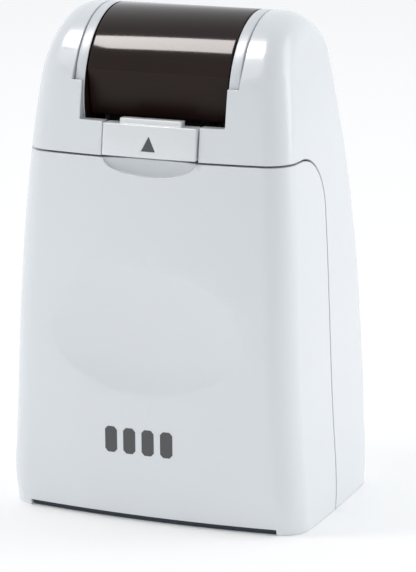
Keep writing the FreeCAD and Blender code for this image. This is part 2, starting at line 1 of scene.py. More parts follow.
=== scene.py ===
# %% [markdown]
# # A masking roller stamp
# The object is a pocket stamp for hiding printed addresses: a white two-part case, a dark head cover that
# rolls over an ink roller, a small lock tab with an arrow, and a dark base. The frame holds every working
# piece at its real size. Here the case is copied from it and shaded smooth, the drum, the screws and the
# print sleeve are made anew, and every piece gets its finish.

# %% Load the frame
import json
import math

import bmesh
import bpy
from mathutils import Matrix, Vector
from mathutils.bvhtree import BVHTree


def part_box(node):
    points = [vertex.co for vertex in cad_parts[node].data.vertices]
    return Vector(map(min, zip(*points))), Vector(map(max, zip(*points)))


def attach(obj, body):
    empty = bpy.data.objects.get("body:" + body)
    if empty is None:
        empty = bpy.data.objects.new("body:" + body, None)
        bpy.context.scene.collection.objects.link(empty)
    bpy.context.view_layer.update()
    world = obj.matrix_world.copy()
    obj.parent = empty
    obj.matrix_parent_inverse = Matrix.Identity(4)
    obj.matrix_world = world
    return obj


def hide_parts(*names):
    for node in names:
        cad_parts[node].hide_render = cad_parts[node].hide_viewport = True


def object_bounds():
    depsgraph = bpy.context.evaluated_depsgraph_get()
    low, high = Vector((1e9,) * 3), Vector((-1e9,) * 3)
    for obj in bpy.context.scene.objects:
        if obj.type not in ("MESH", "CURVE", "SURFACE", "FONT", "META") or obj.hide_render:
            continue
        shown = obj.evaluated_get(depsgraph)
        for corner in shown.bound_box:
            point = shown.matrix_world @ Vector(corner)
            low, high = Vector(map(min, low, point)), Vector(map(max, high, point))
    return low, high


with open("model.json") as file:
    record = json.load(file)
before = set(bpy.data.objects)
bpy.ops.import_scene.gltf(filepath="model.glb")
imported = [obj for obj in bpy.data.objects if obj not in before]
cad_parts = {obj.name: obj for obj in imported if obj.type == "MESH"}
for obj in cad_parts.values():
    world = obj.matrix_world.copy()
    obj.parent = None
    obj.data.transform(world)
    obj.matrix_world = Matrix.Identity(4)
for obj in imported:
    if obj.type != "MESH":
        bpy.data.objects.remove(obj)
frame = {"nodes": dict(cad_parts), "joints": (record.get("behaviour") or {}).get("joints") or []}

cad_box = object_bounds()
MM = 0.001
nodes = frame["nodes"]
joints = {joint["name"]: joint for joint in frame["joints"]}
print("nodes in the frame:", len(nodes))

# %% [markdown]
# ## Camera
# The stamp is seen a little from the right and from above through a long lens, so that its sides hardly
# converge. It is described the way a studio would say it: a turn, a rise and a distance.

# %% Camera
CAMERA_TURN, CAMERA_RISE = 22.1, 12.9
CAMERA_DISTANCE, LENS_MM = 0.417, 176.4
SHIFT_ASIDE, SHIFT_DOWN = 0.0259, -0.0612
height = cad_box[1].z
aim = Vector((0, 0, height / 2))
turn, rise = math.radians(CAMERA_TURN), math.radians(CAMERA_RISE)
back = Vector((math.sin(turn) * math.cos(rise), -math.cos(turn) * math.cos(rise), math.sin(rise)))
camera = bpy.data.objects.new("camera", bpy.data.cameras.new("camera"))
bpy.context.scene.collection.objects.link(camera)
camera.location = aim + back * CAMERA_DISTANCE
camera.rotation_mode = "QUATERNION"
camera.rotation_quaternion = (-back).to_track_quat("-Z", "Y")
camera.data.lens = LENS_MM
camera.data.shift_x, camera.data.shift_y = SHIFT_ASIDE, SHIFT_DOWN
camera.data.clip_start, camera.data.clip_end = 0.01, 20
bpy.context.scene.camera = camera
print("camera", [round(c, 4) for c in camera.location])

# %% [markdown]
# ## Places read from the frame
# The head turns about one axle, and the lock tab and the parting line are placed from it. All the sizes
# below are in millimetres, and only turn into metres when a mesh is made.

# %% Places
PIVOT_Y = joints["head_turn"]["pos_m"][1] / MM
PIVOT_Z = joints["head_turn"]["pos_m"][2] / MM
HEAD_RADIUS = height / MM - PIVOT_Z
print("pivot", PIVOT_Y, PIVOT_Z, "radius", round(HEAD_RADIUS, 2))


# %% [markdown]
# ## Shader arithmetic
# A finish is a small network of nodes. Writing it as arithmetic keeps it readable, so one class wraps a
# socket and gives it plus, minus and times, and another builds the material around a Principled shader.

# %% Sockets that can be added and multiplied
EDGE_SAMPLES, EDGE_CONTRAST = 6, 4.0


class Value:
    """One output socket, used in ordinary expressions."""

    def __init__(self, finish, socket):
        self.finish, self.socket = finish, socket

    def maths(self, operation, *terms):
        return self.finish.node("ShaderNodeMath", {"operation": operation}, dict(enumerate(terms)))

    def __add__(self, other):
        return self.maths("ADD", self, other)

    def __sub__(self, other):
        return self.maths("SUBTRACT", self, other)

    def __rsub__(self, other):
        return self.maths("SUBTRACT", other, self)

    def __mul__(self, other):
        return self.maths("MULTIPLY", self, other)

    def clamped(self):
        return self.finish.node("ShaderNodeClamp", {}, {0: self})

    __radd__, __rmul__ = __add__, __mul__


class Finish:
    """A material that is built up one node at a time."""

    def __init__(self, name, **constants):
        self.material = bpy.data.materials.new(name)
        self.material.use_nodes = True
        self.tree = self.material.node_tree
        self.shader = next(n for n in self.tree.nodes if n.type == "BSDF_PRINCIPLED")
        for socket, value in constants.items():
            self.shader.inputs[socket.replace("_", " ")].default_value = value
        self.place = self.node("ShaderNodeTexCoord", {}, {}, "Object")

    def node(self, kind, settings, inputs, output=0):
        """Add a node: its settings first, then the values or links of its sockets."""
        made = self.tree.nodes.new(kind)
        for name, setting in settings.items():
            setattr(made, name, setting)
        for socket, value in inputs.items():
            self.feed(made.inputs[socket], value)
        return Value(self, made.outputs[output])

    def feed(self, socket, value):
        """Link a value to a socket, or set the socket's own number or colour."""
        if isinstance(value, Value):
            self.tree.links.new(value.socket, socket)
        else:
            socket.default_value = value

    def drive(self, socket, value):
        """Feed one of the shader's sockets."""
        self.feed(self.shader.inputs[socket], value)

    def noise(self, per_mm, detail=3.0, rough=0.5):
        """Noise whose scale is given as features in a millimetre."""
        return self.node("ShaderNodeTexNoise", {}, {"Vector": self.place, "Scale": per_mm / MM,
                                                    "Detail": detail, "Roughness": rough})

    def mixed(self, share, first, second):
        """Two colours, mixed."""
        return self.node("ShaderNodeMix", {"data_type": "RGBA"}, {0: share, 6: first, 7: second}, 2)

    def surface(self, height_value, depth_mm, edge_mm):
        """Fine relief, laid over edges that are rounded off in the shading."""
        return self.node("ShaderNodeBump", {}, {"Height": height_value, "Distance": depth_mm * MM,
                                                "Normal": self.rounded_normal(edge_mm)})

    def rounded_normal(self, edge_mm):
        """The normal as it would be if each edge had this radius."""
        return self.node("ShaderNodeBevel", {"samples": EDGE_SAMPLES}, {"Radius": edge_mm * MM})

    def worn_edge(self, edge_mm):
        """Near 1 on sharp outer edges and 0 on the flats."""
        true = self.node("ShaderNodeNewGeometry", {}, {}, "Normal")
        alike = self.node("ShaderNodeVectorMath", {"operation": "DOT_PRODUCT"},
                          {0: self.rounded_normal(edge_mm), 1: true}, "Value")
        return ((1 - alike) * EDGE_CONTRAST).clamped()


def shade(*levels):
    """A colour with full alpha."""
    return (*levels, 1.0)


print("shader helpers ready")

# %% [markdown]
# ## Moulded plastics
# Injection-moulded plastic is never quite flat. The mould leaves a fine grain, the gloss wanders a little
# over a hand's width, and edges that are handled are polished or pale. One function makes every plastic from
# those three things, so the case, the frame and the discs belong together and still differ.

# %% Plastics
def moulded(name, colour, tone, gloss, grain_mm, depth_mm, edge_mm=0.25, edge_colour=None, **constants):
    """Plastic with a wandering tone and gloss, a mould grain and softened edges."""
    finish = Finish(name, **constants)
    cloud = finish.noise(0.045, 2.0)
    grain = finish.noise(1 / grain_mm, 4.0, 0.6)
    speck = finish.noise(0.9, 5.0, 0.7)
    low = shade(*(c * (1 - tone) for c in colour))
    high = shade(*(min(c * (1 + tone), 1) for c in colour))
    body = finish.mixed((cloud * 0.75 + speck * 0.25).clamped(), low, high)
    if edge_colour:
        body = finish.mixed(finish.worn_edge(edge_mm * 1.6) * 0.5, body, shade(*edge_colour))
    finish.drive("Base Color", body)
    finish.drive("Roughness", gloss - 0.06 + cloud * 0.07 + grain * 0.05)
    finish.drive("Normal", finish.surface(grain + speck * 0.6, depth_mm, edge_mm))
    return finish.material


white_shell = moulded("white_shell_satin", (0.775, 0.805, 0.83), 0.025, 0.25, 0.16, 0.0016,
                      Coat_Weight=0.35, Coat_Roughness=0.16, Specular_IOR_Level=0.5)
white_tab = moulded("white_tab_satin", (0.81, 0.835, 0.85), 0.025, 0.24, 0.16, 0.0016, edge_mm=0.3,
                    Coat_Weight=0.3, Coat_Roughness=0.2)
white_disc = moulded("white_disc_satin", (0.72, 0.75, 0.78), 0.04, 0.32, 0.16, 0.002)
grey_frame = moulded("grey_frame_matte", (0.30, 0.315, 0.33), 0.09, 0.48, 0.28, 0.014,
                     edge_colour=(0.42, 0.43, 0.44))
dark_base = moulded("dark_base_matte", (0.012, 0.024, 0.038), 0.25, 0.42, 0.25, 0.016,
                    edge_colour=(0.07, 0.09, 0.11))
bush_plastic = moulded("bush_acetal", (0.60, 0.60, 0.57), 0.05, 0.33, 0.4, 0.006)
core_plastic = moulded("core_acetal", (0.10, 0.13, 0.17), 0.12, 0.40, 0.3, 0.010,
                       edge_colour=(0.2, 0.23, 0.27))
washer_nylon = moulded("washer_nylon", (0.70, 0.69, 0.64), 0.05, 0.30, 0.25, 0.006, edge_mm=0.08)
grey_mark = moulded("grey_mark_ink", (0.085, 0.088, 0.092), 0.10, 0.50, 0.10, 0.006, edge_mm=0.05)
print("plastics made")

# %% [markdown]
# ## The dark gloss
# The head cover is the one glossy piece: nearly black with a little brown, and clear enough to mirror the
# lights. Its upper face is polished and the flat below the crease is finely frosted, so the roughness
# changes at the crease, which is placed by its angle forward of straight up. Hairline scratches run round it
# the way it slides past the window.

# %% Dark gloss
COVER_CREASE = 70
CREASE_Z = PIVOT_Z + HEAD_RADIUS * math.cos(math.radians(COVER_CREASE))
CREASE_BLUR, FLAT_FROM, FLAT_TO = 0.15, 9.0, 10.0
ALONG = (14.0, 1.0, 1.0)
dark = Finish("dark_gloss_cover", Coat_Roughness=0.05, Specular_IOR_Level=0.18)
around = dark.node("ShaderNodeMapping", {}, {"Vector": dark.place, "Scale": ALONG})
hairs = dark.node("ShaderNodeTexNoise", {}, {"Vector": around, "Scale": 420.0, "Detail": 5.0,
                                             "Roughness": 0.65})
haze = dark.noise(0.12, 4.0)
dust = dark.noise(2.4, 2.0)
place_z = dark.node("ShaderNodeSeparateXYZ", {}, {"Vector": dark.place}, "Z")
place_y = dark.node("ShaderNodeSeparateXYZ", {}, {"Vector": dark.place}, "Y")
below = dark.node("ShaderNodeMapRange", {}, {"Value": place_z, "From Min": (CREASE_Z + CREASE_BLUR) * MM,
                                             "From Max": (CREASE_Z - CREASE_BLUR) * MM})
ahead = dark.node("ShaderNodeMapRange", {}, {"Value": place_y, "From Min": (PIVOT_Y - FLAT_FROM) * MM,
                                             "From Max": (PIVOT_Y - FLAT_TO) * MM})
facet = below * ahead
dark.drive("Base Color", dark.mixed(haze * 0.8, shade(0.013, 0.006, 0.005), shade(0.026, 0.013, 0.011)))
dark.drive("Roughness", 0.07 + facet * 0.22 + haze * 0.05 + hairs * 0.03)
dark.drive("Coat Weight", (0.28 - facet * 0.24 - dust * 0.06).clamped())
dark.drive("Normal", dark.surface(hairs * 0.6 + dust * 0.4, 0.0012, 0.18))
dark_gloss = dark.material
print("crease at", round(CREASE_Z, 2))

# %% [markdown]
# ## Metal, felt and rubber
# Small turned pins keep faint rings and a clean bright edge. The springs are stamped strip with a lengthwise
# grain. The felt is a mat of fibres soaked dark by its ink, and the print sleeve is a dull rubber, inked on
# top.

# %% Metals
def machined(name, colour, roughness, grain):
    """Bare metal with a brushed direction, given by how closely its lines are packed along each axis."""
    finish = Finish(name, Metallic=1.0)
    drawn = finish.node("ShaderNodeMapping", {}, {"Vector": finish.place, "Scale": grain})
    lines = finish.node("ShaderNodeTexNoise", {}, {"Vector": drawn, "Scale": 900.0, "Detail": 5.0})
    stain = finish.noise(0.5, 4.0)
    tint = finish.mixed(stain, shade(*(c * 0.86 for c in colour)), shade(*colour))
    finish.drive("Base Color", finish.mixed(finish.worn_edge(0.15), tint, shade(0.83, 0.83, 0.82)))
    finish.drive("Roughness", roughness + lines * 0.14 + stain * 0.06)
    finish.drive("Normal", finish.surface(lines, 0.004, 0.08))
    return finish.material


pin_steel = machined("pin_steel_turned", (0.60, 0.60, 0.59), 0.20, (8.0, 1.0, 1.0))
screw_steel = machined("screw_steel_zinc", (0.55, 0.56, 0.57), 0.24, (1.0, 1.0, 6.0))
spring_steel = machined("spring_steel_strip", (0.50, 0.50, 0.49), 0.26, (9.0, 1.0, 1.0))
print("metals made")

# %% Felt and rubber
soaked = Finish("felt_soaked", Sheen_Weight=0.35, Sheen_Roughness=0.6)
fibre = soaked.node("ShaderNodeTexVoronoi", {"feature": "DISTANCE_TO_EDGE"},
                    {"Vector": soaked.place, "Scale": 3200.0})
mat = soaked.noise(1.6, 6.0, 0.7)
soaked.drive("Base Color", soaked.mixed((mat * 0.7 + fibre * 0.9).clamped(), shade(0.006, 0.007, 0.012),
                                        shade(0.045, 0.048, 0.065)))
soaked.drive("Roughness", 0.78 + mat * 0.2)
soaked.drive("Normal", soaked.surface(mat + fibre, 0.09, 0.3))
felt = soaked.material

inked = Finish("stamp_rubber_inked")
smear = inked.noise(0.35, 5.0)
pores = inked.noise(4.0, 3.0)
inked.drive("Base Color", inked.mixed(smear, shade(0.020, 0.022, 0.030), shade(0.075, 0.072, 0.078)))
inked.drive("Roughness", 0.34 + smear * 0.3)
inked.drive("Normal", inked.surface(pores + smear, 0.02, 0.12))
stamp_rubber = inked.material
print("felt and rubber made")

# %% [markdown]
# ## Working parts inside
# Most of what is inside the case already has its true shape in the frame, so those nodes stay and only take
# their finishes. A node that is replaced further on needs none.

# %% Finishes on the frame's own nodes
FINISHES = {
    "chassis": grey_frame, "pivot_bush_left": bush_plastic, "pivot_bush_right": bush_plastic,
    "drag_springs": spring_steel, "arrow_inlay": grey_mark, "lock_yoke": grey_frame,
    "pivot_pin_left": pin_steel, "pivot_pin_right": pin_steel, "tie_bars": pin_steel,
    "cartridge_frame": grey_frame, "ink_felt": felt, "roller_axle": pin_steel,
    "axle_washers": washer_nylon, "roller_core": core_plastic,
}
for name, finish in FINISHES.items():
    for holder in nodes[name].material_slots:
        holder.material = finish
print("finished in place:", len(FINISHES))

# %% [markdown]
# ## Mesh helpers
# A softened copy is a frame node's own shape, made into clean faces and given real rounded edges. It is the
# quickest honest way to a moulded part whose outline is already right: join the loose triangles, dissolve the
# flat ones into whole faces, and let a Bevel modifier round what is still sharp. Lengths are in millimetres
# and angles in degrees.

# %% Softened copies
MERGE, SMOOTH_UNDER = 0.002, 30


def applied(piece):
    """Bake the modifiers into the mesh."""
    plain = bpy.data.meshes.new_from_object(piece.evaluated_get(bpy.context.evaluated_depsgraph_get()))
    piece.modifiers.clear()
    piece.data = plain
    return piece


def added(name, mesh, finish):
    """Put a mesh into the scene, with one finish."""
    piece = bpy.data.objects.new(name, mesh)
    bpy.context.scene.collection.objects.link(piece)
    mesh.materials.clear()
    mesh.materials.append(finish)
    return piece


def smoothed(piece, angle=SMOOTH_UNDER):
    """Shade smooth, and keep the edges sharper than this angle."""
    piece.data.shade_smooth()
    piece.data.set_sharp_from_angle(angle=math.radians(angle))
    return piece


def rounded(piece, radius_mm, angle, segments=3):
    """Round the sharp edges with real faces."""
    edge = piece.modifiers.new("edge", "BEVEL")
    edge.limit_method, edge.angle_limit = "ANGLE", math.radians(angle)
    edge.width, edge.segments, edge.harden_normals = radius_mm * MM, segments, False
    return applied(piece)


def softened(node, name, finish, radius_mm=0, angle=50, flat=1.0):
    """A clean copy of a frame node: merged, faces flatter than this joined, and sharp edges rounded."""
    mesh = bmesh.new()
    mesh.from_mesh(nodes[node].data)
    bmesh.ops.remove_doubles(mesh, verts=mesh.verts, dist=MERGE * MM)
    bmesh.ops.dissolve_limit(mesh, angle_limit=math.radians(flat), verts=mesh.verts, edges=mesh.edges)
    data = bpy.data.meshes.new(name)
    mesh.to_mesh(data)
    mesh.free()
    piece = added(name, data, finish)
    if radius_mm:
        rounded(piece, radius_mm, angle)
    return smoothed(piece)


def stands_for(piece, body, slot, *replaced):
    """Hand a piece over: the body it rides on, its slot, which is not used, and the nodes it replaces."""
    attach(piece, body)
    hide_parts(*replaced)
    print(piece.name, "has", len(piece.data.polygons), "faces")
    return piece


print("loose triangles in the rear case:", len(nodes["rear_case"].data.polygons))

# %% [markdown]
# ## Shells
# The rear case and the front cover are the skin that the eye meets first. Their edges are rounded in the
# frame already, so each copy is only merged and shaded smooth, and a bevel would widen the parting line. Only
# faces that are all but flat to each other are joined, because wider joining leaves facets in the reflections.

# %% Shells
SHELL_FLAT = 0.05
for node, name in (("rear_case", "case_shell"), ("front_cover", "cover_shell")):
    shell = softened(node, name, white_shell, flat=SHELL_FLAT)
    stands_for(shell, "case", "white_shell", node)

# %% [markdown]
# ## Base, lock tab and discs
# These moulded parts have the right outline already, so each is a softened copy: the base plate gets the
# light bevel that catches under the front edge, the tab its thumb-friendly lip, the discs a turned rim. The
# faces of the discs that look into the head take the drum's dark gloss as painted shade, for the shade that
# falls inside the head.

# %% Base plate, tab and discs
BASE_EDGE, TAB_EDGE, DISC_EDGE, FLAT_ON = 0.15, 0.28, 0.2, 0.9
base = softened("base_plate", "base_foot", dark_base, BASE_EDGE)
stands_for(base, "case", "dark_base", "base_plate")
tab = softened("lock_slider", "lock_tab", white_tab, TAB_EDGE)
stands_for(tab, "lock", "white_tab", "lock_slider")
for side in ("left", "right"):
    disc = softened("head_disc_" + side, "head_rim_" + side, white_disc, DISC_EDGE)
    # Painted shade: the disc faces that look into the head take the dark gloss, standing in for the shade
    # inside the head.
    disc.data.materials.append(dark_gloss)
    for face in disc.data.polygons:
        face.material_index = int(face.normal.x * face.center.x < 0 and abs(face.normal.x) > FLAT_ON)
    stands_for(disc, "head", "white_disc", "head_disc_" + side)

# %% [markdown]
# ## Head cover
# The dark cover is one moulding: a drum that closes the window, then a crease, then a flat lip that leans
# inwards. Its profile is an arc and two straight lines, so it is drawn as a profile of points, given a
# thickness, and pushed from one end to the other. The crease gets its own small round, because the thin line
# of light along it is what separates the polished drum from the frosted flat.

# %% Head cover profile
COVER_HALF, COVER_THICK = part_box("head_cover")[1].x / MM, 1.2
COVER_REAR, FLAT_LEAN, FLAT_LONG, COVER_EDGE = -58, 10, 7.0, 0.3


def wheel(angle, radius):
    """A point at this angle forward of straight up, on a circle about the pivot."""
    turned = math.radians(angle)
    return PIVOT_Y - radius * math.sin(turned), PIVOT_Z + radius * math.cos(turned)


def cover_profile(inset, angle_step=2):
    radius = HEAD_RADIUS - inset
    arc = [wheel(angle, radius) for angle in range(COVER_REAR, COVER_CREASE + 1, angle_step)]
    lean = math.radians(FLAT_LEAN)
    crease_y, crease_z = wheel(COVER_CREASE, HEAD_RADIUS)
    end_y, end_z = crease_y + FLAT_LONG * math.sin(lean), crease_z - FLAT_LONG * math.cos(lean)
    end = (end_y + inset * math.cos(lean), end_z + inset * math.sin(lean))
    return arc + [end]


outer, inner = cover_profile(0), cover_profile(COVER_THICK)
ring = outer + inner[::-1]
mesh = bmesh.new()
rows = [[mesh.verts.new((x * MM, y * MM, z * MM)) for y, z in ring]
        for x in (-COVER_HALF, COVER_HALF)]
for k in range(len(ring)):
    after = (k + 1) % len(ring)
    mesh.faces.new((rows[0][k], rows[0][after], rows[1][after], rows[1][k]))
last = len(ring) - 1
for row in rows:
    for k in range(len(outer) - 1):
        mesh.faces.new((row[k], row[k + 1], row[last - k - 1], row[last - k]))
bmesh.ops.recalc_face_normals(mesh, faces=mesh.faces)
data = bpy.data.meshes.new("drum_cover")
mesh.to_mesh(data)
mesh.free()
drum = smoothed(rounded(added("drum_cover", data, dark_gloss), COVER_EDGE, angle=24, segments=4), 35)
stands_for(drum, "head", "dark_gloss", "head_cover")

# %% [markdown]
# ## Geometry Nodes helpers
# Screws and the raised pattern on the print sleeve repeat one small shape, which is Geometry Nodes work. The
# helper below makes a tree with named inputs, and another runs it and keeps the plain mesh that comes out.

# %% Building and running a node tree
class Recipe:
    """A Geometry Nodes tree with named inputs."""

    def __init__(self, name, **inputs):
        self.tree = bpy.data.node_groups.new(name, "GeometryNodeTree")
        self.values = {}
        for word, value in inputs.items():
            kind = "NodeSocketInt" if isinstance(value, int) else "NodeSocketFloat"
            if isinstance(value, bpy.types.Material):
                kind = "NodeSocketMaterial"
            socket = self.tree.interface.new_socket(name=word, in_out="INPUT", socket_type=kind)
            self.values[socket.identifier] = value
        self.tree.interface.new_socket(name="Geometry", in_out="OUTPUT", socket_type="NodeSocketGeometry")
        self.start = self.tree.nodes.new("NodeGroupInput")
        self.end = self.tree.nodes.new("NodeGroupOutput")

    def __getitem__(self, word):
        """A named input, as a socket to link from."""
        return self.start.outputs[word]

    def node(self, kind, settings=(), **inputs):
        """Add a node. An input is named by its word, or by _ and its number where words repeat."""
        made = self.tree.nodes.new(kind)
        for name, setting in dict(settings).items():
            setattr(made, name, setting)
        for word, value in inputs.items():
            socket = made.inputs[int(word[1:])] if word[0] == "_" else made.inputs[word.replace("_", " ")]
            if isinstance(value, bpy.types.NodeSocket):
                self.tree.links.new(value, socket)
            else:
                socket.default_value = value
        return made

    def maths(self, operation, first, second=0.0):
        """One Math node."""
        return self.node("ShaderNodeMath", {"operation": operation}, _0=first, _1=second).outputs[0]

    def vector(self, x=0.0, y=0.0, z=0.0):
        """Three numbers joined."""
        return self.node("ShaderNodeCombineXYZ", X=x, Y=y, Z=z).outputs[0]

    def made(self, name, geometry, finish):
        """Realize the instances, set the material, and return a plain mesh object."""
        real = self.node("GeometryNodeRealizeInstances", Geometry=geometry).outputs[0]
        dressed = self.node("GeometryNodeSetMaterial", Geometry=real, Material=self["Finish"]).outputs[0]
        self.tree.links.new(dressed, self.end.inputs[0])
        piece = bpy.data.objects.new(name, bpy.data.meshes.new(name))
        bpy.context.scene.collection.objects.link(piece)
        run = piece.modifiers.new("recipe", "NODES")
        run.node_group = self.tree
        for identifier, value in self.values.items():
            run[identifier] = value
        return applied(piece)


print("recipe helper ready")

# %% [markdown]
# ## Base screws
# Four flat-headed screws close the base. Each is a head on a shank, with a cross slot cut by two thin bars,
# and the four stand on the corners of a rectangle centred under the pivot. Turning each one a little
# differently, with a fixed seed, is what makes them look driven by hand.

# %% Base screws
screw_low, screw_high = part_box("base_screws")
HEAD_R, SHANK_R, HEAD_TALL, SLOT_WIDE, SLOT_DEEP = 2.4, 1.25, 1.2, 0.55, 0.7
HEAD_SIDES, SHANK_SIDES, SLOT_SHARE = 48, 32, 1.2
spread_x = (screw_high.x - screw_low.x) / MM - 2 * HEAD_R
spread_y = (screw_high.y - screw_low.y) / MM - 2 * HEAD_R
recipe = Recipe("base_screw_recipe", Spread_X=spread_x * MM, Spread_Y=spread_y * MM, Head=HEAD_R * MM,
                Shank=SHANK_R * MM, Head_Tall=HEAD_TALL * MM, Long=(screw_high.z - screw_low.z),
                Slot_Wide=SLOT_WIDE * MM, Slot_Deep=SLOT_DEEP * MM, Low=screw_low.z, Middle=PIVOT_Y * MM,
                Seed=7, Finish=screw_steel)
head = recipe.node("GeometryNodeMeshCylinder", Vertices=HEAD_SIDES, Radius=recipe["Head"],
                   Depth=recipe["Head_Tall"])
shank = recipe.node("GeometryNodeMeshCylinder", Vertices=SHANK_SIDES, Radius=recipe["Shank"],
                    Depth=recipe["Long"])
head_up = recipe.maths("MULTIPLY", recipe["Head_Tall"], 0.5)
head_set = recipe.node("GeometryNodeTransform", Geometry=head.outputs[0],
                       Translation=recipe.vector(z=head_up))
shank_up = recipe.maths("MULTIPLY", recipe["Long"], 0.5)
shank_set = recipe.node("GeometryNodeTransform", Geometry=shank.outputs[0],
                        Translation=recipe.vector(z=shank_up))
slot_long = recipe.maths("MULTIPLY", recipe["Head"], SLOT_SHARE)
slot_tall = recipe.maths("MULTIPLY", recipe["Slot_Deep"], 2.0)
bars = [recipe.node("GeometryNodeMeshCube", Size=recipe.vector(*sizes)).outputs[0]
        for sizes in ((slot_long, recipe["Slot_Wide"], slot_tall),
                      (recipe["Slot_Wide"], slot_long, slot_tall))]
cut = recipe.node("GeometryNodeMeshBoolean", {"operation": "DIFFERENCE"}, Mesh_1=head_set.outputs[0])
for bar in bars:
    recipe.tree.links.new(bar, cut.inputs["Mesh 2"])
join = recipe.node("GeometryNodeMeshBoolean", {"operation": "UNION"})
for part in (cut.outputs[0], shank_set.outputs[0]):
    recipe.tree.links.new(part, join.inputs["Mesh 2"])
corners = recipe.node("GeometryNodeMeshGrid", Size_X=recipe["Spread_X"], Size_Y=recipe["Spread_Y"],
                      Vertices_X=2, Vertices_Y=2)
seats = recipe.node("GeometryNodeTransform", Geometry=corners.outputs[0],
                    Translation=recipe.vector(y=recipe["Middle"], z=recipe["Low"]))
turns = recipe.node("FunctionNodeRandomValue", {"data_type": "FLOAT"}, _2=0.0, _3=math.pi,
                    Seed=recipe["Seed"])
driven = recipe.node("GeometryNodeInstanceOnPoints", Points=seats.outputs[0], Instance=join.outputs[0],
                     Rotation=recipe.vector(z=turns.outputs[1]))
screws = smoothed(recipe.made("base_screw_set", driven.outputs[0], screw_steel), 40)
stands_for(screws, "case", "screw_steel", "base_screws")

# %% [markdown]
# ## Print sleeve
# The sleeve prints a muddle of overlapping marks that hides what is under it. On the real roller they are
# raised from the rubber. Here small bars of random length and lean stand on a smooth sleeve: a grid is rolled
# round the axle, and each of its points carries one bar, pointing outwards. The lean and the length draw on
# one seed, so the same chance number sets both.

# %% Print sleeve
sleeve_low, sleeve_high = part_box("print_sleeve")
sleeve_half, sleeve_radius = sleeve_high.x, (sleeve_high.z - sleeve_low.z) / 2
sleeve_y, sleeve_z = (sleeve_low.y + sleeve_high.y) / 2, (sleeve_low.z + sleeve_high.z) / 2
RAISED, BORE, MARK_LONG, MARK_THICK = 0.45, 5.2, 0.95, 0.24
MARK_ROWS, MARK_COLUMNS, TUBE_SIDES, BORE_SIDES = 34, 20, 96, 64
COVERED, STAGGER, SUNK, PIERCE = 1.84, 0.09, 1.9, 1.1
LEAN_MOST, SHORTEST = 1.5, 0.55
recipe = Recipe("sleeve_recipe", Half=sleeve_half, Radius=sleeve_radius - RAISED * MM, Raised=RAISED * MM,
                Bore=BORE * MM, Axle_Y=sleeve_y, Axle_Z=sleeve_z, Rows=MARK_ROWS, Columns=MARK_COLUMNS,
                Seed=19, Finish=stamp_rubber)
tube_long = recipe.maths("MULTIPLY", recipe["Half"], 2.0)
body = recipe.node("GeometryNodeMeshCylinder", Vertices=TUBE_SIDES, Radius=recipe["Radius"], Depth=tube_long)
bore = recipe.node("GeometryNodeMeshCylinder", Vertices=BORE_SIDES, Radius=recipe["Bore"],
                   Depth=recipe.maths("MULTIPLY", tube_long, PIERCE))
tube = recipe.node("GeometryNodeMeshBoolean", {"operation": "DIFFERENCE"}, Mesh_1=body.outputs[0])
recipe.tree.links.new(bore.outputs[0], tube.inputs["Mesh 2"])
laid = recipe.node("GeometryNodeTransform", Geometry=tube.outputs[0], Rotation=(0.0, math.pi / 2, 0.0))
grid = recipe.node("GeometryNodeMeshGrid", Size_X=recipe.maths("MULTIPLY", recipe["Half"], COVERED),
                   Size_Y=2 * math.pi, Vertices_X=recipe["Columns"], Vertices_Y=recipe["Rows"])
spot = recipe.node("ShaderNodeSeparateXYZ", Vector=recipe.node("GeometryNodeInputPosition").outputs[0])
odd = recipe.maths("MODULO", recipe.node("GeometryNodeInputIndex").outputs[0], 2.0)
angle = recipe.maths("ADD", spot.outputs["Y"], recipe.maths("MULTIPLY", odd, STAGGER))
sideways, upwards = recipe.maths("SINE", angle), recipe.maths("COSINE", angle)
round_y, round_z = (recipe.maths("MULTIPLY", way, recipe["Radius"]) for way in (sideways, upwards))
rolled = recipe.node("GeometryNodeSetPosition", Geometry=grid.outputs[0],
                     Position=recipe.vector(spot.outputs["X"], round_y, round_z))
stroke_tall = recipe.maths("MULTIPLY", recipe["Raised"], SUNK)
stroke = recipe.node("GeometryNodeMeshCube", Size=recipe.vector(MARK_LONG * MM, MARK_THICK * MM, stroke_tall))
outward = recipe.node("FunctionNodeAlignRotationToVector", {"axis": "Z"},
                      Vector=recipe.vector(0.0, sideways, upwards))
lean = recipe.node("FunctionNodeRandomValue", {"data_type": "FLOAT"}, _2=-LEAN_MOST, _3=LEAN_MOST,
                   Seed=recipe["Seed"])
leaned = recipe.node("FunctionNodeRotateRotation", {"rotation_space": "LOCAL"}, Rotation=outward.outputs[0],
                     Rotate_By=recipe.vector(z=lean.outputs[1]))
length = recipe.node("FunctionNodeRandomValue", {"data_type": "FLOAT"}, _2=SHORTEST, _3=1.0,
                     Seed=recipe["Seed"])
marks = recipe.node("GeometryNodeInstanceOnPoints", Points=rolled.outputs[0], Instance=stroke.outputs[0],
                    Rotation=leaned.outputs[0], Scale=recipe.vector(length.outputs[1], 1.0, 1.0))
both = recipe.node("GeometryNodeJoinGeometry")
recipe.tree.links.new(laid.outputs[0], both.inputs[0])
recipe.tree.links.new(marks.outputs[0], both.inputs[0])
placed = recipe.node("GeometryNodeTransform", Geometry=both.outputs[0],
                     Translation=recipe.vector(0.0, recipe["Axle_Y"], recipe["Axle_Z"]))
sleeve = smoothed(recipe.made("pattern_sleeve", placed.outputs[0], stamp_rubber), 40)
stands_for(sleeve, "roller", "stamp_rubber", "print_sleeve")

# %% [markdown]
# ## Printed mark
# The real case carries a small grey printed mark. Here it is replaced by a plain row of four bars. Ink has
# almost no thickness, so each bar is a patch of the skin itself, lifted by a few hundredths of a millimetre.

